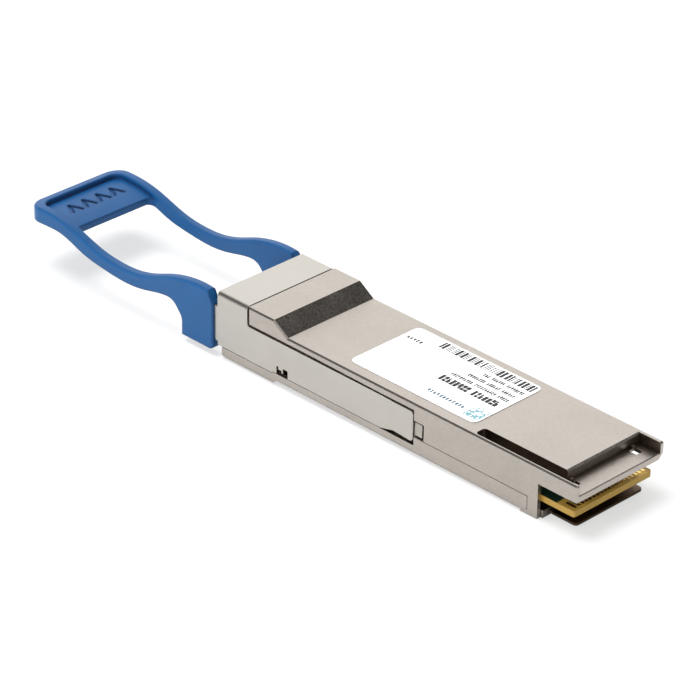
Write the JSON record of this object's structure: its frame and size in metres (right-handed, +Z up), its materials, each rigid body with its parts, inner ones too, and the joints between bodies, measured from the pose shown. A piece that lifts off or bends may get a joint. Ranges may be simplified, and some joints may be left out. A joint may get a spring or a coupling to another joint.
{
  "type": "optical transceiver module",
  "caption": "Pluggable optical transceiver module with a card edge, a port for a parallel-fibre plug and a sprung pull-tab release slider.",
  "frame": {"origin": "centre of the footprint, at the level of the nose foot it rests on", "axes": "+X into the cage, towards the card edge (pull tab at -X); +Y across, towards the side with no keying groove; +Z up, out of the label face"},
  "size_m": [0.1172, 0.0192, 0.011],
  "materials": {
    "housing_nickel": "fine-grained satin nickel plate on a zinc die casting",
    "slider_steel": "smooth nickel-plated spring steel sheet",
    "tab_blue": "satin moulded thermoplastic, blue",
    "label_white": null,
    "board_mask": "green solder mask on glass-epoxy board, tan at the card edge",
    "contact_gold": "hard gold plate",
    "port_black": "black moulded plastic",
    "gasket_grey": "conductive elastomer",
    "latch_plastic": "natural moulded plastic",
    "ferrule_resin": "dark glass-filled ferrule resin",
    "pin_steel": "ground stainless steel",
    "boot_rubber": "black elastomer",
    "ribbon_coat": "acrylate-coated fibre ribbon",
    "lens_resin": "amber transparent moulded resin",
    "chip_black": "moulded chip package",
    "die_grey": "bare semiconductor die",
    "pad_grey": "thermal gap pad",
    "inductor_grey": "moulded ferrite",
    "ceramic_tan": "ceramic chip capacitors",
    "spring_steel": "spring wire",
    "screw_steel": "nickel-plated screw"
  },
  "bodies": {
    "housing": {"lower_housing": "housing_nickel", "upper_housing": "housing_nickel", "label": "label_white", "circuit_board": "board_mask", "card_edge_contacts_top": "contact_gold", "card_edge_contacts_bottom": "contact_gold", "port_receptacle": "port_black", "port_gasket": "gasket_grey", "port_latch": "latch_plastic", "mt_ferrule": "ferrule_resin", "guide_pins": "pin_steel", "pin_clamp": "pin_steel", "ferrule_boot": "boot_rubber", "transmit_ribbon": "ribbon_coat", "receive_ribbon": "ribbon_coat", "transmit_lens_block": "lens_resin", "receive_lens_block": "lens_resin", "laser_array": "die_grey", "photodiode_array": "die_grey", "laser_driver": "chip_black", "receiver_amplifier": "chip_black", "signal_processor": "chip_black", "microcontroller": "chip_black", "thermal_pad": "pad_grey", "power_inductors": "inductor_grey", "capacitors": "ceramic_tan", "return_spring_left": "spring_steel", "return_spring_right": "spring_steel", "cover_screws": "screw_steel"},
    "release": {"delatch_slider": "slider_steel", "pull_tab": "tab_blue"}
  },
  "joints": [
    {"name": "release_slide", "type": "slide", "parent": "housing", "child": "release", "axis": [-1, 0, 0], "range_m": [0, 0.002], "stiffness_N_per_m": 600, "springref_m": -0.001, "deforming": ["return_spring_left", "return_spring_right"]}
  ]
}
